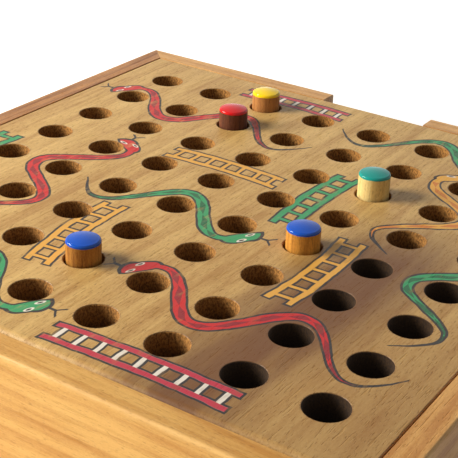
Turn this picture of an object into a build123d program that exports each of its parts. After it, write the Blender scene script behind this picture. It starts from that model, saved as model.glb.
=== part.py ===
"""Snakes and ladders peg game in a flat wooden case.

A square box of four mitred planks holds a tray. Its lid is the playing board, drilled with
eight rows of eight peg holes, which lies flush inside the planks and folds up about two pins
near the front edge. A notch in the back plank lets a finger reach the edge of the board.
Pegs stand in the holes, and spare pegs and a die lie in the tray under the board.

Millimetres, +Z up. The origin is the middle of the case where it stands on the table, with
the hinge side at -Y and the finger notch at +Y.
"""

import os

from build123d import *

# Case
case_width = 230.0
case_depth = 230.0
case_height = 36.0
plank_thickness = 8.5
plank_edge_round = 1.0
plank_foot_chamfer = 0.5

# Bottom, let into a rabbet round the foot of the planks
bottom_thickness = 4.0
bottom_recess = 1.0
rabbet_depth = 4.0
bottom_clearance = 0.2

# Lid: a drilled board with a thin backing glued under it
board_thickness = 11.0
backing_thickness = 3.0
lid_side_gap = 0.5
lid_end_gap = 0.6
board_edge_chamfer = 0.4
heel_round = 2.5

# Peg holes
columns = 8
rows = 8
column_pitch = 24.5
row_pitch = 24.0
peg_hole_diameter = 12.5
peg_hole_chamfer = 0.3

# Hinge pins, driven through the side planks into the edges of the board
pin_diameter = 2.5
pin_head_diameter = 5.0
pin_head_thickness = 1.0
pin_reach = 11.5
pin_tip_chamfer = 0.6
pin_setback = 9.0
pin_drop = 5.0
pin_play = 0.05
pin_end_room = 1.0
pin_seat_clearance = 0.02

# Finger notch in the back plank
notch_width = 45.0
notch_below_lid = 4.0
notch_round = 7.0

# Strips that the closed lid rests on
rest_width = 5.0
rest_height = 5.0
rest_chamfer = 0.8
rest_front_space = 15.0
rest_back_space = 0.5

# Dividers of the tray, half lapped where they cross, as high as the foot of the rest strips
divider_thickness = 4.0
divider_tenon = 2.0
divider_clearance = 0.1

# Playing pegs and die
peg_side_play = 0.75
peg_proud = 7.5
tall_peg_proud = 9.0
peg_dome = 0.6
peg_top_round = 0.9
peg_foot_chamfer = 0.7
die_size = 13.0
die_round = 1.4
pip_diameter = 2.4
pip_depth = 0.7
pip_spread = 3.4
pip_taper = 45.0
spare_from_side = 21.3
loose_gap = 0.15

# Places worked out from the sizes above
peg_diameter = peg_hole_diameter - 2 * peg_side_play
opening_x = case_width - 2 * plank_thickness
opening_y = case_depth - 2 * plank_thickness
floor_z = bottom_recess + bottom_thickness
lid_bottom_z = case_height - board_thickness - backing_thickness
board_bottom_z = case_height - board_thickness
notch_depth = case_height - lid_bottom_z + notch_below_lid
divider_height = lid_bottom_z - rest_height - floor_z
lid_x = opening_x - 2 * lid_side_gap
lid_y = opening_y - 2 * lid_end_gap
pin_y = -lid_y / 2 + pin_setback
pin_z = case_height - pin_drop
peg_length = board_thickness + peg_proud
tall_peg_length = board_thickness + tall_peg_proud
compartment_y = (opening_y / 2 + divider_thickness / 2) / 2
spare_x = opening_x / 2 - spare_from_side


def hole_place(row, column):
    """Centre of a peg hole, with rows counted from the back and columns from the left."""
    x = (column - (columns + 1) / 2) * column_pitch
    y = ((rows + 1) / 2 - row) * row_pitch
    return x, y


def save(part, label):
    """Names a finished piece and writes it to its own file."""
    part.label = label
    export_step(part, f"parts/{label}.step")


def mitred_plank(length, outer_face):
    """A side of the case along X, its outer face at -Y, mitred at both ends.

    The foot has the rabbet for the bottom on its inner side, and the middle has the groove
    for the end of a divider, which runs up from the rabbet.
    """
    inner_face = outer_face - plank_thickness
    with BuildPart() as plank:
        with BuildSketch():
            with BuildLine():
                Polyline(
                    (-length / 2, -outer_face),
                    (length / 2, -outer_face),
                    (length / 2 - plank_thickness, -inner_face),
                    (-length / 2 + plank_thickness, -inner_face),
                    close=True,
                )
            make_face()
        extrude(amount=case_height)
        outer_edges = plank.edges().filter_by(Axis.X).group_by(Axis.Y)[0].sort_by(Axis.Z)
        fillet(outer_edges[-1], radius=plank_edge_round)
        foot_edges = plank.edges().filter_by(Axis.X).group_by(Axis.Y)[0].sort_by(Axis.Z)
        chamfer(foot_edges[0], length=plank_foot_chamfer)
        with BuildSketch():
            with Locations((0, -inner_face - rabbet_depth / 2)):
                Rectangle(length, rabbet_depth)
        extrude(amount=floor_z, mode=Mode.SUBTRACT)
        with BuildSketch(Plane.XY.offset(floor_z)):
            with Locations((0, -inner_face - divider_tenon / 2)):
                Rectangle(divider_thickness + 2 * divider_clearance, divider_tenon)
        extrude(amount=divider_height + divider_clearance, mode=Mode.SUBTRACT)
    return plank.part


def drill_for_pin(side):
    """Cuts the hole of a hinge pin, with its sunk head, into the side plank at that side of X."""
    face = Plane(
        origin=(side * case_width / 2, pin_y, pin_z), x_dir=(0, 1, 0), z_dir=(side, 0, 0)
    )
    with Locations(face):
        CounterBoreHole(
            radius=pin_diameter / 2 + pin_seat_clearance,
            counter_bore_radius=pin_head_diameter / 2 + pin_seat_clearance,
            counter_bore_depth=pin_head_thickness,
            depth=plank_thickness,
        )


def make_case():
    """The four planks and the bottom."""
    with BuildPart() as front_plank:
        add(mitred_plank(case_width, case_depth / 2))
    save(front_plank.part, "front_plank")

    with BuildPart() as back_plank:
        add(mitred_plank(case_width, case_depth / 2), rotation=(0, 0, 180))
        with BuildSketch(Plane.XZ.offset(-case_depth / 2)):
            with Locations((0, case_height)):
                Rectangle(notch_width, 2 * notch_depth)
            fillet(vertices().sort_by(Axis.Y)[:2], radius=notch_round)
        extrude(amount=plank_thickness, mode=Mode.SUBTRACT)
    save(back_plank.part, "back_plank")

    with BuildPart() as left_plank:
        add(mitred_plank(case_depth, case_width / 2), rotation=(0, 0, -90))
        drill_for_pin(-1)
    save(left_plank.part, "left_plank")

    with BuildPart() as right_plank:
        add(mitred_plank(case_depth, case_width / 2), rotation=(0, 0, 90))
        drill_for_pin(1)
    save(right_plank.part, "right_plank")

    with BuildPart() as bottom_panel:
        with BuildSketch(Plane.XY.offset(bottom_recess)):
            Rectangle(
                opening_x + 2 * (rabbet_depth - bottom_clearance),
                opening_y + 2 * (rabbet_depth - bottom_clearance),
            )
        extrude(amount=bottom_thickness)
    save(bottom_panel.part, "bottom_panel")


def make_tray():
    """The strips under the lid and the crossed dividers."""
    rest_length = opening_y - rest_front_space - rest_back_space - pin_setback
    rest_middle_y = opening_y / 2 - rest_back_space - rest_length / 2
    for side, label in ((-1, "left_rest_strip"), (1, "right_rest_strip")):
        with BuildPart() as rest_strip:
            with Locations(
                (
                    side * (opening_x - rest_width) / 2,
                    rest_middle_y,
                    lid_bottom_z - rest_height / 2,
                )
            ):
                Box(rest_width, rest_length, rest_height)
            inner_foot = rest_strip.edges().filter_by(Axis.Y).group_by(Axis.Z)[0]
            chamfer(inner_foot.sort_by(Axis.X)[0 if side > 0 else -1], length=rest_chamfer)
        save(rest_strip.part, label)

    lap_width = divider_thickness + 2 * divider_clearance
    lap_height = divider_height / 2 + divider_clearance / 2
    with BuildPart() as long_divider:
        with BuildSketch(Plane.XY.offset(floor_z)):
            Rectangle(opening_x + 2 * (divider_tenon - divider_clearance), divider_thickness)
        extrude(amount=divider_height)
        with BuildSketch(Plane.XY.offset(floor_z + divider_height)):
            Rectangle(lap_width, divider_thickness)
        extrude(amount=-lap_height, mode=Mode.SUBTRACT)
    save(long_divider.part, "long_divider")

    with BuildPart() as cross_divider:
        with BuildSketch(Plane.XY.offset(floor_z)):
            Rectangle(divider_thickness, opening_y + 2 * (divider_tenon - divider_clearance))
        extrude(amount=divider_height)
        with BuildSketch(Plane.XY.offset(floor_z)):
            Rectangle(divider_thickness, lap_width)
        extrude(amount=lap_height, mode=Mode.SUBTRACT)
    save(cross_divider.part, "cross_divider")


def make_lid():
    """The playing board with its peg holes, and the backing that closes them below."""
    with BuildPart() as playing_board:
        with BuildSketch(Plane.XY.offset(board_bottom_z)):
            Rectangle(lid_x, lid_y)
        extrude(amount=board_thickness)
        rim_edges = playing_board.edges().group_by(Axis.Z)[-1].sort_by(Axis.Y)
        chamfer(rim_edges[1:], length=board_edge_chamfer)
        heel_edge = playing_board.edges().group_by(Axis.Z)[-1].sort_by(Axis.Y)[0]
        fillet(heel_edge, radius=heel_round)
        with Locations((0, 0, case_height)):
            with GridLocations(column_pitch, row_pitch, columns, rows):
                CounterSinkHole(
                    radius=peg_hole_diameter / 2,
                    counter_sink_radius=peg_hole_diameter / 2 + peg_hole_chamfer,
                    depth=board_thickness,
                    counter_sink_angle=90,
                )
        for side in (-1, 1):
            edge = Plane(
                origin=(side * lid_x / 2, pin_y, pin_z), x_dir=(0, 1, 0), z_dir=(side, 0, 0)
            )
            with Locations(edge):
                Hole(
                    radius=pin_diameter / 2 + pin_play,
                    depth=pin_reach + pin_end_room,
                )
    save(playing_board.part, "playing_board")

    with BuildPart() as board_backing:
        with BuildSketch(Plane.XY.offset(lid_bottom_z)):
            Rectangle(lid_x, lid_y)
        extrude(amount=backing_thickness)
        chamfer(board_backing.edges().group_by(Axis.Z)[0], length=board_edge_chamfer)
    save(board_backing.part, "board_backing")


def make_pins():
    """The two nails that the lid turns on."""
    shank = plank_thickness - pin_head_thickness + lid_side_gap + pin_reach
    for side, label in ((-1, "left_hinge_pin"), (1, "right_hinge_pin")):
        head_top = Plane(
            origin=(side * case_width / 2, pin_y, pin_z), x_dir=(0, 1, 0), z_dir=(side, 0, 0)
        )
        with BuildPart() as hinge_pin:
            with BuildSketch(head_top):
                Circle(pin_head_diameter / 2)
            extrude(amount=-pin_head_thickness)
            with BuildSketch(head_top.offset(-pin_head_thickness)):
                Circle(pin_diameter / 2)
            extrude(amount=-shank)
            tip = hinge_pin.edges().sort_by(Axis.X)[0 if side > 0 else -1]
            chamfer(tip, length=pin_tip_chamfer)
        save(hinge_pin.part, label)


def dowel_peg(length):
    """A peg standing on the origin: a dowel with a broken foot and a low domed top."""
    radius = peg_diameter / 2
    shoulder = length - peg_dome
    with BuildPart() as peg:
        with BuildSketch(Plane.XZ):
            with BuildLine():
                Polyline(
                    (0, length),
                    (0, 0),
                    (radius - peg_foot_chamfer, 0),
                    (radius, peg_foot_chamfer),
                    (radius, shoulder - peg_top_round),
                )
                TangentArc(
                    (radius, shoulder - peg_top_round),
                    (radius - peg_top_round, shoulder),
                    tangent=(0, 1),
                )
                TangentArc((0, length), (radius - peg_top_round, shoulder), tangent=(1, 0))
            make_face()
        revolve(axis=Axis.Z)
    return peg.part


def make_pegs():
    """The pegs in play, each upright in its hole, and the spare ones, lying in the tray."""
    in_play = {
        "blue_peg_front": (7, 4, peg_length),
        "blue_peg_middle": (5, 6, peg_length),
        "red_peg": (2, 3, peg_length),
        "yellow_peg": (1, 3, peg_length),
        "green_peg": (3, 6, tall_peg_length),
    }
    for label, (row, column, length) in in_play.items():
        x, y = hole_place(row, column)
        with BuildPart() as peg:
            with Locations((x, y, board_bottom_z)):
                add(dowel_peg(length))
        save(peg.part, label)

    spare = {
        "spare_red_peg": (-spare_x, -compartment_y),
        "spare_yellow_peg": (spare_x, -compartment_y),
        "spare_green_peg": (-spare_x, compartment_y),
    }
    lying_z = floor_z + peg_diameter / 2 + loose_gap
    for label, (x, y) in spare.items():
        with BuildPart() as peg:
            with Locations(Location((x, y + peg_length / 2, lying_z), (90, 0, 0))):
                add(dowel_peg(peg_length))
        save(peg.part, label)


def pip_places(number):
    """Places of the pips on a face of the die, on its own flat axes."""
    s = pip_spread
    corner = [(-s, -s), (s, s)]
    other_corner = [(-s, s), (s, -s)]
    side = [(-s, 0), (s, 0)]
    middle = [(0, 0)]
    layouts = {
        1: middle,
        2: corner,
        3: corner + middle,
        4: corner + other_corner,
        5: corner + other_corner + middle,
        6: corner + other_corner + side,
    }
    return layouts[number]


def make_die():
    """A wooden die with rounded corners and drilled pips, opposite faces adding up to seven."""
    faces_of_die = {
        1: (0, 0, 1),
        6: (0, 0, -1),
        2: (0, -1, 0),
        5: (0, 1, 0),
        3: (1, 0, 0),
        4: (-1, 0, 0),
    }
    x, y, z = spare_x, compartment_y, floor_z + die_size / 2
    with BuildPart() as die:
        with Locations((x, y, z)):
            Box(die_size, die_size, die_size)
        fillet(die.edges(), radius=die_round)
        for number, normal in faces_of_die.items():
            half = die_size / 2
            origin = (x + normal[0] * half, y + normal[1] * half, z + normal[2] * half)
            with BuildSketch(Plane(origin=origin, z_dir=normal)):
                with Locations(*pip_places(number)):
                    Circle(pip_diameter / 2)
            extrude(amount=-pip_depth, taper=pip_taper, mode=Mode.SUBTRACT)
    save(die.part, "die")


os.makedirs("parts", exist_ok=True)
make_case()
make_tray()
make_lid()
make_pins()
make_pegs()
make_die()
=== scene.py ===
"""A snakes and ladders peg board in its wooden case, as seen close up over its front right corner."""

import math

import bpy
import bmesh
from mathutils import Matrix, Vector


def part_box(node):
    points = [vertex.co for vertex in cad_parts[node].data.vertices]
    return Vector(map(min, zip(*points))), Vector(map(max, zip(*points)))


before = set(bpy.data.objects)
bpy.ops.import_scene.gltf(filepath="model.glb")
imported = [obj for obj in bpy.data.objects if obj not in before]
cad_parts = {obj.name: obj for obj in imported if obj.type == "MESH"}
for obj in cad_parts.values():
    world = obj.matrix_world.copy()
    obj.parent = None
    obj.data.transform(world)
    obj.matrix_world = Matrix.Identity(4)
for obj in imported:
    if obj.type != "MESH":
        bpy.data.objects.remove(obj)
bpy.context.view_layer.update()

# Camera, close over the front right corner of the case with a long lens, tipped slightly
# to one side as a hand-held camera is. Its place and turn were solved from the peg holes.
camera_place = (0.1958, -0.3061, 0.2087)
camera_turn_degrees = (63.26, -2.10, 33.47)
sensor_width_mm = 36.0
lens_mm = 93.85
nearest_seen = 0.01

camera_data = bpy.data.cameras.new("camera")
camera_data.sensor_width = sensor_width_mm
camera_data.lens = lens_mm
camera_data.clip_start = nearest_seen
camera = bpy.data.objects.new("camera", camera_data)
camera.location = camera_place
camera.rotation_euler = [math.radians(angle) for angle in camera_turn_degrees]
bpy.context.scene.collection.objects.link(camera)
bpy.context.scene.camera = camera


# Case planks: four lengths of pale pine, rabbeted and grooved inside, mitred and glued at the
# corners, planed and given a thin satin lacquer. The front one is the warmest, and the left
# one has gone browner on top.
def new_group(name, inputs, outputs):
    """A shader node group with named sockets, and its input and output nodes."""
    group = bpy.data.node_groups.new(name, "ShaderNodeTree")
    for socket_name, kind in inputs:
        group.interface.new_socket(socket_name, in_out="INPUT", socket_type=kind)
    for socket_name, kind in outputs:
        group.interface.new_socket(socket_name, in_out="OUTPUT", socket_type=kind)
    return group, group.nodes.new("NodeGroupInput"), group.nodes.new("NodeGroupOutput")


def place_group(tree, group, vector, **values):
    """A group's node, with a vector for its coordinates and a value for each named socket."""
    node = tree.nodes.new("ShaderNodeGroup")
    node.node_tree = group
    tree.links.new(vector, node.inputs["Vector"])
    for name, value in values.items():
        node.inputs[name.replace("_", " ").title()].default_value = value
    return node


def feed(tree, socket, value):
    """Puts a number, a colour or another node's output into a socket."""
    if isinstance(value, bpy.types.NodeSocket):
        tree.links.new(value, socket)
    else:
        socket.default_value = value


def calc(tree, operation, *values, clamp=False):
    """A Math node's output."""
    node = tree.nodes.new("ShaderNodeMath")
    node.operation = operation
    node.use_clamp = clamp
    for socket, value in zip(node.inputs, values):
        feed(tree, socket, value)
    return node.outputs[0]


def join(tree, operation, first, *rest):
    """Several values joined one after another by the same Math operation."""
    for value in rest:
        first = calc(tree, operation, first, value)
    return first


def ramp(tree, value, low, high, to_low=0.0, to_high=1.0, smooth=True):
    """A Map Range node's output, held to its limits."""
    node = tree.nodes.new("ShaderNodeMapRange")
    node.interpolation_type = "SMOOTHSTEP" if smooth else "LINEAR"
    for name, number in (
        ("Value", value),
        ("From Min", low),
        ("From Max", high),
        ("To Min", to_low),
        ("To Max", to_high),
    ):
        feed(tree, node.inputs[name], number)
    return node.outputs["Result"]


def mix(tree, amount, first, second):
    """A colour mixed from two."""
    node = tree.nodes.new("ShaderNodeMix")
    node.data_type = "RGBA"
    feed(tree, node.inputs["Factor"], amount)
    feed(tree, node.inputs["A"], first)
    feed(tree, node.inputs["B"], second)
    return node.outputs["Result"]


def noise(tree, vector, scale, stretch=(1.0, 1.0, 1.0), detail=2.0, roughness=0.5):
    """Noise drawn out along the axes by the stretch, as a value about one half."""
    place = tree.nodes.new("ShaderNodeMapping")
    place.inputs["Scale"].default_value = stretch
    tree.links.new(vector, place.inputs["Vector"])
    node = tree.nodes.new("ShaderNodeTexNoise")
    node.inputs["Scale"].default_value = scale
    node.inputs["Detail"].default_value = detail
    node.inputs["Roughness"].default_value = roughness
    tree.links.new(place.outputs["Vector"], node.inputs["Vector"])
    return node.outputs["Fac"]


def waver(tree, vector, reach, **grade):
    """Noise about zero, as wide from end to end as the reach."""
    level = noise(tree, vector, **grade)
    return calc(tree, "MULTIPLY", calc(tree, "SUBTRACT", level, 0.5), reach)


def split(tree, vector):
    """The X, Y and Z of a vector."""
    node = tree.nodes.new("ShaderNodeSeparateXYZ")
    tree.links.new(vector, node.inputs[0])
    return tuple(node.outputs)


def srgb(red, green, blue):
    """A colour as it is seen, from 0 to 255, turned into the light that it sends back."""
    linear = []
    for part in (red, green, blue):
        share = part / 255
        linear.append(share / 12.92 if share <= 0.04045 else ((share + 0.055) / 1.055) ** 2.4)
    return (*linear, 1.0)


# The grain group serves the wood of every section. It draws growth rings, long fibres and
# short pores along the X of the coordinates that it is given, whatever way the piece lies.
grain, grain_in, grain_out = new_group(
    "wood_grain",
    [
        ("Vector", "NodeSocketVector"),
        ("Pale", "NodeSocketColor"),
        ("Deep", "NodeSocketColor"),
        ("Pore", "NodeSocketColor"),
        ("Ring Width", "NodeSocketFloat"),
        ("Ring Strength", "NodeSocketFloat"),
        ("Wander", "NodeSocketFloat"),
        ("Pore Strength", "NodeSocketFloat"),
        ("Fleck Strength", "NodeSocketFloat"),
    ],
    [
        ("Color", "NodeSocketColor"),
        ("Roughness", "NodeSocketFloat"),
        ("Height", "NodeSocketFloat"),
    ],
)
ring_tilt = 0.8
fibre_rise = 0.4
speckle_rise = 0.5
along = grain_in.outputs["Vector"]
across, through = split(grain, along)[1:]
wander = waver(grain, along, grain_in.outputs["Wander"], scale=14.0, stretch=(0.25, 1.0, 1.0))
ring_place = calc(grain, "MULTIPLY_ADD", through, ring_tilt, across)
ring_place = calc(grain, "ADD", ring_place, wander)
ring_age = calc(grain, "DIVIDE", ring_place, grain_in.outputs["Ring Width"])
ring_age = calc(grain, "FRACT", ring_age)
late_wood = ramp(grain, ring_age, low=0.35, high=0.95)
ring_end = ramp(grain, ring_age, low=0.95, high=1.0, to_low=1.0, to_high=0.0)
ring = join(grain, "MULTIPLY", late_wood, ring_end, grain_in.outputs["Ring Strength"])
streak = noise(grain, along, 210.0, stretch=(0.05, 1.0, 1.0), detail=3.0, roughness=0.55)
patch = noise(grain, along, 22.0, stretch=(0.3, 1.0, 1.0))
cloud = noise(grain, along, 75.0, stretch=(0.5, 1.0, 1.0), detail=3.0, roughness=0.6)
fibre = noise(grain, along, 900.0, stretch=(0.06, 1.0, 1.0), detail=3.0, roughness=0.6)
speckle = noise(grain, along, 2400.0, stretch=(0.5, 1.0, 1.0), roughness=0.6)
depth = join(
    grain,
    "ADD",
    ring,
    ramp(grain, streak, low=0.35, high=0.72, to_low=0.0, to_high=0.38),
    ramp(grain, patch, low=0.35, high=0.7, to_low=0.0, to_high=0.3),
    ramp(grain, cloud, low=0.35, high=0.7, to_low=-0.06, to_high=0.26),
    ramp(grain, fibre, low=0.36, high=0.7, to_low=-0.1, to_high=0.22),
    ramp(grain, speckle, low=0.3, high=0.7, to_low=-0.1, to_high=0.12),
)
depth = calc(grain, "MAXIMUM", depth, 0.0, clamp=True)
tone = mix(grain, depth, grain_in.outputs["Pale"], grain_in.outputs["Deep"])
pore = noise(grain, along, 1500.0, stretch=(0.07, 1.0, 1.0), detail=1.0)
fleck = noise(grain, along, 2800.0, stretch=(0.15, 1.0, 1.0), detail=1.0)
pore_mask = ramp(grain, pore, low=0.62, high=0.70)
fleck_mask = ramp(grain, fleck, low=0.62, high=0.70)
pitted = calc(grain, "MAXIMUM", pore_mask, fleck_mask)
stained = calc(
    grain,
    "MAXIMUM",
    calc(grain, "MULTIPLY", pore_mask, grain_in.outputs["Pore Strength"]),
    calc(grain, "MULTIPLY", fleck_mask, grain_in.outputs["Fleck Strength"]),
)
tone = mix(grain, stained, tone, grain_in.outputs["Pore"])
dull = calc(grain, "ADD", pitted, fibre)
dull = ramp(grain, dull, low=0.3, high=1.6, to_low=0.42, to_high=0.68)
raised = calc(grain, "MULTIPLY", speckle, speckle_rise)
raised = calc(grain, "MULTIPLY_ADD", fibre, fibre_rise, raised)
raised = calc(grain, "SUBTRACT", raised, pitted)
grain.links.new(tone, grain_out.inputs["Color"])
grain.links.new(dull, grain_out.inputs["Roughness"])
grain.links.new(raised, grain_out.inputs["Height"])


def own_place(tree):
    """The piece's own coordinates, in metres."""
    return tree.nodes.new("ShaderNodeTexCoord").outputs["Object"]


def along_grain(tree, own, turn_degrees, offset):
    """The piece's coordinates, turned so that X runs along its grain.

    The offset gives each piece its own stretch of the grain.
    """
    turned = tree.nodes.new("ShaderNodeMapping")
    turned.inputs["Rotation"].default_value = [math.radians(angle) for angle in turn_degrees]
    turned.inputs["Location"].default_value = offset
    tree.links.new(own, turned.inputs["Vector"])
    return turned.outputs["Vector"]


def new_material(name):
    """An empty material's tree and its Principled BSDF."""
    material = bpy.data.materials.new(name)
    material.use_nodes = True
    tree = material.node_tree
    return material, tree, tree.nodes["Principled BSDF"]


def raise_surface(tree, shader, height, distance, strength):
    """Bumps a surface by a height from 0 to 1, which stands for the distance in metres."""
    bump = tree.nodes.new("ShaderNodeBump")
    bump.inputs["Strength"].default_value = strength
    bump.inputs["Distance"].default_value = distance
    tree.links.new(height, bump.inputs["Height"])
    tree.links.new(bump.outputs["Normal"], shader.inputs["Normal"])


def dress(node_name, material):
    """Gives a piece of the frame its finish."""
    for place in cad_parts[node_name].material_slots:
        place.material = material


plank_woods = {
    "front_plank": (srgb(226, 176, 98), srgb(194, 136, 62), 0.0, (0.31, 0.02, 0.05)),
    "back_plank": (srgb(226, 176, 112), srgb(178, 124, 68), 0.0, (0.77, 0.13, 0.02)),
    "left_plank": (srgb(192, 136, 80), srgb(132, 84, 44), 90.0, (0.12, 0.41, 0.03)),
    "right_plank": (srgb(234, 182, 110), srgb(190, 132, 70), 90.0, (0.55, 0.27, 0.09)),
}
plank_pore = srgb(140, 88, 44)
plank_rubbed = srgb(246, 208, 146)
plank_relief = 0.00012
glue_line_half = 0.0003
rub_start = 0.0030
rub_full = 0.0012
rub_raggedness = 0.0022
lacquer_ior = 1.38
case_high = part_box("front_plank")[1]
case_half = case_high[0]
case_top = case_high[2]
for plank_name, (pale, deep, turn, offset) in plank_woods.items():
    material, tree, shader = new_material(plank_name + "_pine")
    own = own_place(tree)
    wood = place_group(
        tree,
        grain,
        along_grain(tree, own, (0.0, 0.0, turn), offset),
        pale=pale,
        deep=deep,
        pore=plank_pore,
        ring_width=0.0052,
        ring_strength=0.34,
        wander=0.03,
        pore_strength=0.12,
        fleck_strength=0.3,
    )
    plank_x, plank_y, plank_z = split(tree, own)
    from_middle_x = calc(tree, "ABSOLUTE", plank_x)
    from_middle_y = calc(tree, "ABSOLUTE", plank_y)
    off_mitre = calc(tree, "ABSOLUTE", calc(tree, "SUBTRACT", from_middle_x, from_middle_y))
    glue_line = ramp(tree, off_mitre, glue_line_half, glue_line_half / 3, to_high=0.6)
    furthest = calc(tree, "MAXIMUM", from_middle_x, from_middle_y)
    from_side = calc(tree, "SUBTRACT", case_half, furthest)
    from_top = calc(tree, "SUBTRACT", case_top, plank_z)
    ragged = calc(tree, "MULTIPLY", noise(tree, own, 90.0, detail=3.0), rub_raggedness)
    from_edge = join(tree, "ADD", from_side, from_top, ragged)
    rubbed = ramp(tree, from_edge, rub_start, rub_full, to_high=0.25)
    tone = mix(tree, rubbed, wood.outputs["Color"], plank_rubbed)
    tone = mix(tree, glue_line, tone, plank_pore)
    tree.links.new(tone, shader.inputs["Base Color"])
    tree.links.new(wood.outputs["Roughness"], shader.inputs["Roughness"])
    shader.inputs["IOR"].default_value = lacquer_ior
    raise_surface(tree, shader, wood.outputs["Height"], plank_relief, strength=0.6)
    dress(plank_name, material)


# Playing board: one panel of pale hardwood with a streak of dark heartwood along it, drilled,
# printed with snakes and ladders in thin ink and varnished.
board_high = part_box("playing_board")[1]
board_top = board_high[2]
board_relief = 0.0001
board_pale = srgb(216, 178, 112)
board_deep = srgb(174, 130, 70)
board_pore = srgb(92, 60, 30)
heartwood_dark = srgb(96, 54, 22)
heartwood_brown = srgb(122, 74, 32)
holes_each_way = 8
middle_hole = (holes_each_way + 1) / 2
column_pitch = 0.0245
row_pitch = 0.024
varnish_ior = 1.38


def hole_place(row, column):
    """Middle of a peg hole, with rows counted from the back and columns from the left."""
    return (column - middle_hole) * column_pitch, (middle_hole - row) * row_pitch


def flat_distance(tree, x, y):
    """The distance that a step of x and y makes."""
    squares = calc(tree, "ADD", calc(tree, "MULTIPLY", x, x), calc(tree, "MULTIPLY", y, y))
    return calc(tree, "SQRT", squares)


# The printed snake lies along the X of its coordinates, from its tail at 0 to its head at the
# length, and sways about it in half waves. Its outline, pupils and tongue are in line ink.
ink_edge = 0.0001
outline_width = 0.0008
ink_line = srgb(30, 28, 30)
ink_red = srgb(200, 36, 40)
ink_deep_red = srgb(140, 26, 38)
ink_green = srgb(48, 150, 96)
ink_deep_green = srgb(22, 96, 60)
ink_yellow = srgb(228, 168, 72)
ink_orange = srgb(206, 122, 48)
ink_pink = srgb(190, 52, 72)
ink_white = srgb(236, 226, 214)


def inside(tree, depth, least=0.0):
    """Full where a shape is deeper than the least, with a soft edge as ink has."""
    return ramp(tree, depth, least - ink_edge, least + ink_edge)


snake_half_width = 0.0027
sway_end_share = 0.97
body_end_share = 0.93
head_half_length = 0.0055
head_half_width = 0.0034
head_depth = 0.0036
mark_step = 0.0035
mark_rise = 0.42
mark_fall = 1.2
mark_off_head = 1.3
eye_off_middle = 0.0016
eye_along_head = 0.0012
eye_edge = (0.0010, 0.0008)
pupil_edge = (0.00055, 0.0004)
tongue_half_width = 0.00035
tongue_length = 0.0045
tongue_in_mouth = 0.0005
fork_start = 0.0022
fork_spread = 0.7
snake, snake_in, snake_out = new_group(
    "printed_snake",
    [
        ("Vector", "NodeSocketVector"),
        ("Length", "NodeSocketFloat"),
        ("Sway", "NodeSocketFloat"),
        ("Half Waves", "NodeSocketFloat"),
        ("Skin", "NodeSocketColor"),
        ("Marks", "NodeSocketColor"),
    ],
    [("Color", "NodeSocketColor"), ("Ink", "NodeSocketFloat")],
)
u, v = split(snake, snake_in.outputs["Vector"])[:2]
length = snake_in.outputs["Length"]
sway = snake_in.outputs["Sway"]
half_waves = snake_in.outputs["Half Waves"]
share = calc(snake, "DIVIDE", u, length)
turn = calc(snake, "MINIMUM", share, sway_end_share)
turn = join(snake, "MULTIPLY", turn, math.pi, half_waves)
middle = calc(snake, "MULTIPLY", calc(snake, "SINE", turn), sway)
rate = calc(snake, "DIVIDE", join(snake, "MULTIPLY", half_waves, math.pi, sway), length)
slope = calc(snake, "MULTIPLY", calc(snake, "COSINE", turn), rate)
steep = calc(snake, "SQRT", calc(snake, "MULTIPLY_ADD", slope, slope, 1.0))
off = calc(snake, "ABSOLUTE", calc(snake, "DIVIDE", calc(snake, "SUBTRACT", v, middle), steep))

taper = ramp(snake, share, low=0.0, high=0.45, to_low=0.08, smooth=False)
neck = ramp(snake, share, low=0.72, high=0.88, to_low=1.0, to_high=0.7)
body_half = join(snake, "MULTIPLY", snake_half_width, taper, neck)
body_end = calc(snake, "MULTIPLY", length, body_end_share)
body = join(
    snake,
    "MINIMUM",
    calc(snake, "SUBTRACT", body_half, off),
    u,
    calc(snake, "SUBTRACT", body_end, u),
)
head_u = calc(snake, "SUBTRACT", u, calc(snake, "SUBTRACT", length, head_half_length))
head_far = flat_distance(
    snake,
    calc(snake, "DIVIDE", head_u, head_half_length),
    calc(snake, "DIVIDE", off, head_half_width),
)
head = calc(snake, "MULTIPLY", calc(snake, "SUBTRACT", 1.0, head_far), head_depth)
shape = calc(snake, "MAXIMUM", body, head)

mark = calc(snake, "MULTIPLY", calc(snake, "PINGPONG", u, mark_step), mark_rise)
mark = calc(snake, "SUBTRACT", mark, calc(snake, "MULTIPLY", off, mark_fall))
mark = calc(snake, "MINIMUM", mark, calc(snake, "SUBTRACT", head_far, mark_off_head))
eye_far = flat_distance(
    snake,
    calc(snake, "SUBTRACT", off, eye_off_middle),
    calc(snake, "SUBTRACT", head_u, eye_along_head),
)
past_head = calc(snake, "SUBTRACT", u, length)
fork = calc(snake, "MAXIMUM", calc(snake, "SUBTRACT", past_head, fork_start), 0.0)
fork = calc(snake, "MULTIPLY", fork, fork_spread)
off_tongue = calc(snake, "ABSOLUTE", calc(snake, "SUBTRACT", off, fork))
tongue = join(
    snake,
    "MINIMUM",
    calc(snake, "SUBTRACT", tongue_half_width, off_tongue),
    calc(snake, "SUBTRACT", tongue_length, past_head),
    calc(snake, "ADD", past_head, tongue_in_mouth),
)
skin = mix(snake, inside(snake, mark), snake_in.outputs["Skin"], snake_in.outputs["Marks"])
skin = mix(snake, ramp(snake, eye_far, *eye_edge), skin, ink_white)
skin = mix(snake, ramp(snake, eye_far, *pupil_edge), skin, ink_line)
skin = mix(snake, inside(snake, shape, outline_width), ink_line, skin)
drawn = calc(snake, "MAXIMUM", inside(snake, shape), inside(snake, tongue))
snake.links.new(skin, snake_out.inputs["Color"])
snake.links.new(drawn, snake_out.inputs["Ink"])

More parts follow.
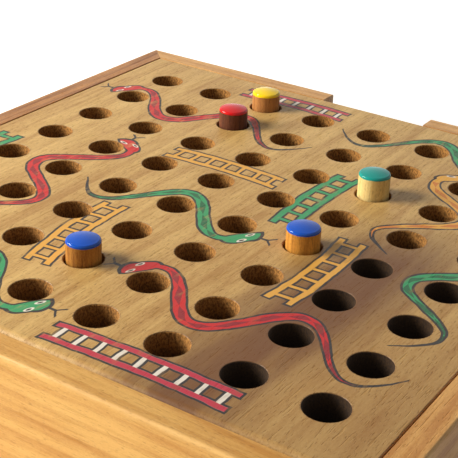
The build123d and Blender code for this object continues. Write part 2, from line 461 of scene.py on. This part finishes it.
# The printed ladder lies along the X of its coordinates in the same way, and may bow aside.
rail_offset = 0.0036
rail_half = 0.0010
rung_half = 0.0007
rung_step = 0.0066
ladder, ladder_in, ladder_out = new_group(
    "printed_ladder",
    [
        ("Vector", "NodeSocketVector"),
        ("Length", "NodeSocketFloat"),
        ("Bow", "NodeSocketFloat"),
        ("Rails", "NodeSocketColor"),
        ("Rungs", "NodeSocketColor"),
    ],
    [("Color", "NodeSocketColor"), ("Ink", "NodeSocketFloat")],
)
u, v = split(ladder, ladder_in.outputs["Vector"])[:2]
length = ladder_in.outputs["Length"]
share = calc(ladder, "DIVIDE", u, length)
arch = calc(ladder, "SUBTRACT", share, calc(ladder, "MULTIPLY", share, share))
arch = join(ladder, "MULTIPLY", arch, 4.0, ladder_in.outputs["Bow"])
off = calc(ladder, "ABSOLUTE", calc(ladder, "SUBTRACT", v, arch))
off_rail = calc(ladder, "ABSOLUTE", calc(ladder, "SUBTRACT", off, rail_offset))
rail = calc(ladder, "SUBTRACT", rail_half, off_rail)
rung = calc(ladder, "PINGPONG", u, rung_step / 2)
rung = calc(ladder, "SUBTRACT", rung, rung_step / 2 - rung_half)
rung = calc(ladder, "MINIMUM", rung, calc(ladder, "SUBTRACT", rail_offset, off))
shape = calc(ladder, "MAXIMUM", rail, rung)
shape = join(ladder, "MINIMUM", shape, u, calc(ladder, "SUBTRACT", length, u))
paint = mix(ladder, inside(ladder, rail), ladder_in.outputs["Rungs"], ladder_in.outputs["Rails"])
paint = mix(ladder, inside(ladder, shape), ink_line, paint)
ladder.links.new(paint, ladder_out.inputs["Color"])
ladder.links.new(inside(ladder, shape, -outline_width), ladder_out.inputs["Ink"])

# The panel's wood. The heartwood runs in from the front edge, well to the right of the
# middle, and fades out towards the back. The wood round the front right corner is browner.
heart_x = 0.0655
heart_lean = 0.12
heart_half_width = 0.027
heart_core_half = 0.004
heart_strength = 0.9
browning_strength = 0.5
material, tree, shader = new_material("board_panel")
own = own_place(tree)
wood = place_group(
    tree,
    grain,
    along_grain(tree, own, (0.0, 0.0, 90.0), (0.2, 0.3, 0.1)),
    pale=board_pale,
    deep=board_deep,
    pore=board_pore,
    ring_width=0.011,
    ring_strength=0.2,
    wander=0.03,
    pore_strength=0.16,
    fleck_strength=0.42,
)
board_x, board_y, board_z = split(tree, own)
heart_line = calc(tree, "MULTIPLY_ADD", board_y, heart_lean, heart_x)
heart_far = calc(tree, "ABSOLUTE", calc(tree, "SUBTRACT", board_x, heart_line))
heart_wave = waver(tree, own, reach=0.034, scale=30.0, stretch=(1.0, 0.3, 1.0), detail=3.0)
heart_streak = waver(tree, own, reach=0.012, scale=260.0, stretch=(1.0, 0.04, 1.0))
heart_far = join(tree, "ADD", heart_far, heart_wave, heart_streak)
heart = ramp(tree, heart_far, heart_half_width, heart_core_half)
heart_end = ramp(tree, board_y, low=0.045, high=-0.01)
heart = join(tree, "MULTIPLY", heart, heart_end, heart_strength)
panel = mix(tree, heart, wood.outputs["Color"], heartwood_dark)
brown_right = ramp(tree, calc(tree, "ADD", board_x, heart_wave), low=0.01, high=0.115)
brown_front = ramp(tree, board_y, low=0.02, high=-0.09)
browning = join(tree, "MULTIPLY", brown_right, brown_front, browning_strength)
panel = mix(tree, browning, panel, heartwood_brown)

# The print, over the wood and under the varnish. Each motif runs from one place to another,
# as rows and columns of holes. A snake winds round the holes between, a ladder lies straight
# or slightly bowed, and all waver a little, as a line drawn by hand does.
snakes = [
    ((8, 1), (8, 4), 1.0, ink_green, ink_deep_green),
    ((7, 8), (7, 5), 1.0, ink_red, ink_deep_red),
    ((7, 2), (4, 2), 1.0, ink_red, ink_deep_red),
    ((5, 3), (5, 5), -1.0, ink_green, ink_deep_green),
    ((2, 4), (2, 1), 1.0, ink_red, ink_deep_red),
    ((1, 5), (1, 8), -1.0, ink_green, ink_deep_green),
    ((4, 7), (2, 7), 1.0, ink_yellow, ink_orange),
    ((6, 8), (3, 8), -1.0, ink_green, ink_deep_green),
]
ladders = [
    ((8.52, 4.8), (8.48, 7.2), 0.0010, ink_pink, ink_white),
    ((7.4, 3.62), (5.6, 3.4), 0.0018, ink_yellow, ink_yellow),
    ((4.6, 5.5), (2.6, 5.5), 0.0015, ink_green, ink_green),
    ((6.4, 6.5), (4.6, 6.5), -0.0014, ink_yellow, ink_yellow),
    ((0.55, 2.4), (0.55, 4.4), 0.0010, ink_pink, ink_white),
    ((3.5, 2.9), (3.5, 4.7), 0.0015, ink_yellow, ink_yellow),
    ((6.4, 0.6), (4.4, 0.6), 0.0010, ink_green, ink_green),
    ((2.6, 8.5), (1.5, 8.5), 0.0010, ink_pink, ink_white),
]
snake_sway = 0.0108
hand_drift = 0.0014
unsteady = tree.nodes.new("ShaderNodeTexNoise")
unsteady.inputs["Scale"].default_value = 130.0
unsteady.inputs["Detail"].default_value = 2.0
tree.links.new(own, unsteady.inputs["Vector"])
drift = tree.nodes.new("ShaderNodeVectorMath")
drift.operation = "MULTIPLY_ADD"
tree.links.new(unsteady.outputs["Color"], drift.inputs[0])
drift.inputs[1].default_value = (hand_drift, hand_drift, 0.0)
tree.links.new(own, drift.inputs[2])


def lay_motif(start, end, lead):
    """Coordinates that run from a start point, less the lead, to an end point, and the run."""
    first = Vector((*hole_place(*start), 0.0))
    last = Vector((*hole_place(*end), 0.0))
    run = last - first
    place = tree.nodes.new("ShaderNodeMapping")
    place.vector_type = "TEXTURE"
    place.inputs["Location"].default_value = first - run.normalized() * lead
    place.inputs["Rotation"].default_value = (0.0, 0.0, math.atan2(run.y, run.x))
    tree.links.new(drift.outputs["Vector"], place.inputs["Vector"])
    return place.outputs["Vector"], run.length


motifs = []
for start, end, side, skin, marks in snakes:
    vector, run = lay_motif(start, end, column_pitch / 2)
    holes_passed = max(abs(end[0] - start[0]), abs(end[1] - start[1])) + 1
    motif = place_group(
        tree,
        snake,
        vector,
        length=run + column_pitch,
        sway=side * snake_sway,
        half_waves=holes_passed,
        skin=skin,
        marks=marks,
    )
    motifs.append(motif)
for start, end, bow, rails, rungs in ladders:
    vector, run = lay_motif(start, end, 0.0)
    whole_steps = round(run / rung_step) * rung_step
    motif = place_group(
        tree, ladder, vector, length=whole_steps, bow=bow, rails=rails, rungs=rungs
    )
    motifs.append(motif)
worn = noise(tree, own, 420.0, stretch=(1.0, 0.3, 1.0), detail=3.0)
worn = ramp(tree, worn, low=0.30, high=0.46, to_low=0.66, to_high=0.97)
inked = panel
for motif in motifs:
    cover = calc(tree, "MULTIPLY", motif.outputs["Ink"], worn)
    inked = mix(tree, cover, inked, motif.outputs["Color"])


# The holes. The bit has torn the wood round their edges and scorched their walls, and the
# ones in the heartwood are nearly black.
def off_hole(place, pitch):
    """How far a place along one axis is from the middle of its hole."""
    share = calc(tree, "FRACT", calc(tree, "DIVIDE", place, pitch))
    return calc(tree, "MULTIPLY", calc(tree, "SUBTRACT", share, 0.5), pitch)


def past_grid(place, pitch):
    """Full past the outermost holes along one axis."""
    return calc(tree, "GREATER_THAN", calc(tree, "ABSOLUTE", place), holes_each_way / 2 * pitch)


hole_radius = 0.00625
print_depth = 0.00015
# The deep brown of the painted shade on the board's side and back edge faces.
board_edge_shade = srgb(160, 112, 60)
bore_wood = srgb(182, 129, 66)
bore_scorched = srgb(106, 70, 32)
bore_deep = srgb(26, 17, 12)
bore_rough = 0.95
bore_rim_start = 0.0003
bore_rim_end = 0.0005
bore_lit_depth = 0.001
bore_dark_depth = 0.011
torn_start = 0.0006
torn_full = 0.0002
torn_raggedness = 0.0014
edge_shade_start = 0.0006
edge_shade_full = 0.0001
bore_heart_strength = 0.93
hole_far = flat_distance(tree, off_hole(board_x, column_pitch), off_hole(board_y, row_pitch))
past_holes = calc(
    tree, "MAXIMUM", past_grid(board_x, column_pitch), past_grid(board_y, row_pitch)
)
on_face = ramp(tree, board_z, board_top - print_depth, board_top - print_depth / 2)
off_bore = ramp(tree, hole_far, hole_radius + bore_rim_start, hole_radius + bore_rim_end)
on_top = join(tree, "MAXIMUM", off_bore, past_holes, on_face)

# Painted shade: the side and back edge faces of the board, below its top face, are darkened to a deep
# brown.
off_side = calc(tree, "SUBTRACT", board_high[0], calc(tree, "ABSOLUTE", board_x))
off_edge = calc(tree, "MINIMUM", off_side, calc(tree, "SUBTRACT", board_high[1], board_y))
edge_painted_shade = ramp(tree, off_edge, edge_shade_start, edge_shade_full, to_high=0.75)
plain = mix(tree, on_face, mix(tree, edge_painted_shade, panel, board_edge_shade), inked)
torn_far = calc(tree, "ADD", hole_far, waver(tree, own, torn_raggedness, scale=1500.0))
torn_edge = ramp(
    tree, torn_far, hole_radius + torn_start, hole_radius + torn_full, to_high=0.7
)
torn_edge = calc(tree, "MULTIPLY", torn_edge, calc(tree, "SUBTRACT", 1.0, past_holes))
plain = mix(tree, torn_edge, plain, bore_scorched)

bore_fuzz = noise(tree, own, 1900.0, stretch=(1.0, 1.0, 0.6), detail=3.0, roughness=0.65)
bore = mix(tree, ramp(tree, bore_fuzz, low=0.36, high=0.66), bore_wood, bore_scorched)
bore_depth = calc(tree, "SUBTRACT", board_top, board_z)
bore_shade = ramp(tree, bore_depth, bore_lit_depth, bore_dark_depth, to_high=0.85)
bore = mix(tree, bore_shade, bore, bore_deep)
dark_side = calc(tree, "MULTIPLY_ADD", heart_wave, 0.2, board_x)
dark_side = ramp(tree, dark_side, low=0.044, high=0.056)
dark_front = ramp(tree, board_y, low=0.022, high=-0.004)
bore_heart = join(tree, "MULTIPLY", dark_side, dark_front, bore_heart_strength)
bore = mix(tree, bore_heart, bore, bore_deep)

rough = calc(tree, "SUBTRACT", bore_rough, on_top)
rough = calc(tree, "MAXIMUM", wood.outputs["Roughness"], rough)
tree.links.new(mix(tree, on_top, bore, plain), shader.inputs["Base Color"])
tree.links.new(rough, shader.inputs["Roughness"])
shader.inputs["IOR"].default_value = varnish_ior
raise_surface(tree, shader, wood.outputs["Height"], board_relief, strength=0.6)
dress("playing_board", material)


# Plywood: the backing glued under the board, and the bottom let into a rabbet in the planks.
# Both are thin birch ply with pale peeled faces, sanded and left bare.
bare_relief = 0.0001


def leave_bare(piece_name, stuff, turn_degrees, offset, **values):
    """Gives a piece of the frame plain wood, its grain along X or turned about Z."""
    material, tree, shader = new_material(piece_name + stuff)
    vector = along_grain(tree, own_place(tree), (0.0, 0.0, turn_degrees), offset)
    wood = place_group(tree, grain, vector, fleck_strength=0.4, **values)
    tree.links.new(wood.outputs["Color"], shader.inputs["Base Color"])
    tree.links.new(wood.outputs["Roughness"], shader.inputs["Roughness"])
    raise_surface(tree, shader, wood.outputs["Height"], bare_relief, strength=0.5)
    dress(piece_name, material)


birch_ply = {
    "pale": srgb(222, 190, 142),
    "deep": srgb(192, 152, 102),
    "pore": srgb(150, 108, 66),
    "ring_width": 0.02,
    "ring_strength": 0.3,
    "wander": 0.09,
    "pore_strength": 0.3,
}
leave_bare("board_backing", "_birch", 0.0, (0.4, 0.1, 0.2), **birch_ply)
leave_bare("bottom_panel", "_birch", 90.0, (0.1, 0.6, 0.3), **birch_ply)


# Tray: rest strips glued to the side planks for the board to lie on, and two dividers, half
# lapped where they cross, with their ends in grooves. All are planed wood, left bare.
tray_wood = {
    "pale": srgb(220, 180, 126),
    "deep": srgb(182, 136, 84),
    "pore": srgb(130, 88, 50),
    "ring_width": 0.004,
    "ring_strength": 0.4,
    "wander": 0.01,
    "pore_strength": 0.3,
}
leave_bare("left_rest_strip", "_wood", 90.0, (0.2, 0.2, 0.5), **tray_wood)
leave_bare("right_rest_strip", "_wood", 90.0, (0.6, 0.1, 0.4), **tray_wood)
leave_bare("long_divider", "_wood", 0.0, (0.3, 0.7, 0.1), **tray_wood)
leave_bare("cross_divider", "_wood", 90.0, (0.8, 0.5, 0.2), **tray_wood)


# Hinge pins: steel nails driven through the side planks into the edges of the board. Their
# heads sit in counterbored seats and are filed flush with the planks.
steel_dark = srgb(118, 114, 108)
steel_bright = srgb(164, 160, 152)
file_mark_depth = 0.00005
material, tree, shader = new_material("pin_steel")
filed = noise(tree, own_place(tree), 3500.0, stretch=(1.0, 0.06, 1.0))
tree.links.new(mix(tree, filed, steel_dark, steel_bright), shader.inputs["Base Color"])
shader.inputs["Metallic"].default_value = 1.0
rough = ramp(tree, filed, low=0.3, high=0.7, to_low=0.34, to_high=0.56)
tree.links.new(rough, shader.inputs["Roughness"])
raise_surface(tree, shader, filed, file_mark_depth, strength=0.4)
dress("left_hinge_pin", material)
dress("right_hinge_pin", material)


# Pegs: short lengths of dowel, left bare below, their tops dipped in gloss paint that has
# drawn itself into a thick rounded skin.
paint_height = 0.0017
paint_edge = 0.00008
paint_raggedness = 0.0005
paint_roughness = 0.08
paint_ior = 1.3
peg_relief = 0.00012
peg_pore = srgb(70, 40, 22)
blue_paint = srgb(0, 80, 194)
red_paint = srgb(212, 8, 10)
yellow_paint = srgb(255, 214, 0)
green_paint = srgb(8, 150, 142)
peg_finishes = {
    "blue_peg_front": (blue_paint, srgb(200, 142, 66), srgb(132, 78, 28)),
    "blue_peg_middle": (blue_paint, srgb(224, 160, 70), srgb(156, 94, 32)),
    "red_peg": (red_paint, srgb(112, 64, 42), srgb(62, 32, 22)),
    "yellow_peg": (yellow_paint, srgb(190, 132, 74), srgb(126, 74, 38)),
    "green_peg": (green_paint, srgb(238, 216, 150), srgb(206, 170, 98)),
    "spare_red_peg": (red_paint, srgb(206, 150, 92), srgb(140, 88, 46)),
    "spare_yellow_peg": (yellow_paint, srgb(214, 164, 102), srgb(150, 98, 52)),
    "spare_green_peg": (green_paint, srgb(230, 196, 130), srgb(176, 128, 72)),
}
for number, (peg_name, (paint, pale, deep)) in enumerate(peg_finishes.items()):
    low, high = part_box(peg_name)
    lying = peg_name.startswith("spare")
    material, tree, shader = new_material(peg_name + "_finish")
    own = own_place(tree)
    turn_degrees = (0.0, 0.0, 90.0) if lying else (0.0, 90.0, 0.0)
    wood = place_group(
        tree,
        grain,
        along_grain(tree, own, turn_degrees, (0.13 * number, 0.07 * number, 0.0)),
        pale=pale,
        deep=deep,
        pore=peg_pore,
        ring_width=0.0024,
        ring_strength=0.22,
        wander=0.006,
        pore_strength=0.12,
        fleck_strength=0.35,
    )
    peg_y, peg_z = split(tree, own)[1:]
    if lying:
        from_top = calc(tree, "SUBTRACT", peg_y, low[1])
    else:
        from_top = calc(tree, "SUBTRACT", high[2], peg_z)
    ragged = waver(tree, own, paint_raggedness, scale=300.0, stretch=(1.0, 1.0, 0.4))
    from_top = calc(tree, "ADD", from_top, ragged)
    painted = ramp(tree, from_top, paint_height + paint_edge, paint_height - paint_edge)
    bare = calc(tree, "SUBTRACT", 1.0, painted)
    rough = calc(tree, "MULTIPLY_ADD", wood.outputs["Roughness"], bare, paint_roughness)
    tree.links.new(mix(tree, painted, wood.outputs["Color"], paint), shader.inputs["Base Color"])
    tree.links.new(rough, shader.inputs["Roughness"])
    shader.inputs["IOR"].default_value = paint_ior
    height = calc(tree, "MULTIPLY", wood.outputs["Height"], bare)
    raise_surface(tree, shader, height, peg_relief, strength=0.6)
    dress(peg_name, material)


# Die: a cube of pale wood, tumbled until its corners are round and then waxed. Its pips are
# drilled shallow and burnt dark.
die_low, die_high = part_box("die")
die_middle = [(low + high) / 2 for low, high in zip(die_low, die_high)]
die_half = (die_high[0] - die_low[0]) / 2
pip_sunk = 0.0001
pip_reach = 0.0096
pip_edge = 0.0002
pip_burnt = srgb(40, 26, 18)
material, tree, shader = new_material("die_wood")
own = own_place(tree)
wood = place_group(
    tree,
    grain,
    along_grain(tree, own, (0.0, 0.0, 20.0), (0.3, 0.2, 0.1)),
    pale=srgb(232, 200, 148),
    deep=srgb(204, 160, 104),
    pore=srgb(150, 104, 60),
    ring_width=0.002,
    ring_strength=0.4,
    wander=0.003,
    pore_strength=0.3,
    fleck_strength=0.4,
)
centred = tree.nodes.new("ShaderNodeVectorMath")
centred.operation = "SUBTRACT"
tree.links.new(own, centred.inputs[0])
centred.inputs[1].default_value = die_middle
off_middle = [calc(tree, "ABSOLUTE", part) for part in split(tree, centred.outputs["Vector"])]
furthest = join(tree, "MAXIMUM", *off_middle)
in_face = calc(tree, "SUBTRACT", join(tree, "ADD", *off_middle), furthest)
sunk = ramp(tree, furthest, die_half - pip_sunk, die_half - 2 * pip_sunk)
off_rounding = ramp(tree, in_face, pip_reach + pip_edge, pip_reach)
pip = calc(tree, "MULTIPLY", sunk, off_rounding)
tree.links.new(mix(tree, pip, wood.outputs["Color"], pip_burnt), shader.inputs["Base Color"])
tree.links.new(wood.outputs["Roughness"], shader.inputs["Roughness"])
shader.inputs["Coat Weight"].default_value = 0.2
raise_surface(tree, shader, wood.outputs["Height"], bare_relief, strength=0.5)
dress("die", material)


# Floor, light and background: a white sweep, a wide soft window from the left and a little
# fill from the front.
def seen_straight(tree):
    """Full where the camera sees a surface itself, or in gloss or through glass."""
    rays = tree.nodes.new("ShaderNodeLightPath").outputs
    kinds = ("Is Camera Ray", "Is Transmission Ray", "Is Glossy Ray")
    return join(tree, "MAXIMUM", *(rays[kind] for kind in kinds))


floor_glow = 0.42
far_floor_glow = 1.0
glow_start = 0.24
glow_full = 0.62
floor_mesh = bpy.data.meshes.new("floor")
floor_form = bmesh.new()
bmesh.ops.create_grid(floor_form, x_segments=1, y_segments=1, size=3.0)
floor_form.to_mesh(floor_mesh)
floor_form.free()
floor = bpy.data.objects.new("floor", floor_mesh)
bpy.context.scene.collection.objects.link(floor)
material, tree, shader = new_material("floor_white")
shader.inputs["Base Color"].default_value = (0.90, 0.90, 0.90, 1.0)
shader.inputs["Roughness"].default_value = 0.8
shader.inputs["Emission Color"].default_value = (1.0, 1.0, 1.0, 1.0)
away = tree.nodes.new("ShaderNodeVectorMath")
away.operation = "LENGTH"
tree.links.new(own_place(tree), away.inputs[0])
glow = ramp(tree, away.outputs["Value"], glow_start, glow_full, floor_glow, far_floor_glow)
glow = calc(tree, "MULTIPLY", seen_straight(tree), glow)
tree.links.new(glow, shader.inputs["Emission Strength"])
floor_mesh.materials.append(material)

lamps = [
    ("window", (-0.66, -0.36, 0.40), 0.40, 13.0, (1.0, 0.95, 0.84)),
    ("front_fill", (-0.50, -0.90, 0.30), 0.6, 1.2, (1.0, 0.90, 0.74)),
]
aim = Vector((0.0, 0.0, 0.02))
for lamp_name, place, size, power, colour in lamps:
    lamp_data = bpy.data.lights.new(lamp_name, "AREA")
    lamp_data.size = size
    lamp_data.energy = power
    lamp_data.color = colour
    lamp = bpy.data.objects.new(lamp_name, lamp_data)
    lamp.location = place
    lamp.rotation_euler = (aim - Vector(place)).to_track_quat("-Z", "Y").to_euler()
    bpy.context.scene.collection.objects.link(lamp)

room_light = 0.17
backdrop_white = 1.0
world = bpy.data.worlds.new("white_room")
bpy.context.scene.world = world
world.use_nodes = True
air = world.node_tree
background = air.nodes["Background"]
background.inputs["Color"].default_value = (1.0, 1.0, 1.0, 1.0)
brightness = ramp(air, seen_straight(air), 0.0, 1.0, room_light, backdrop_white, smooth=False)
air.links.new(brightness, background.inputs["Strength"])

bpy.context.scene.view_settings.view_transform = "Standard"
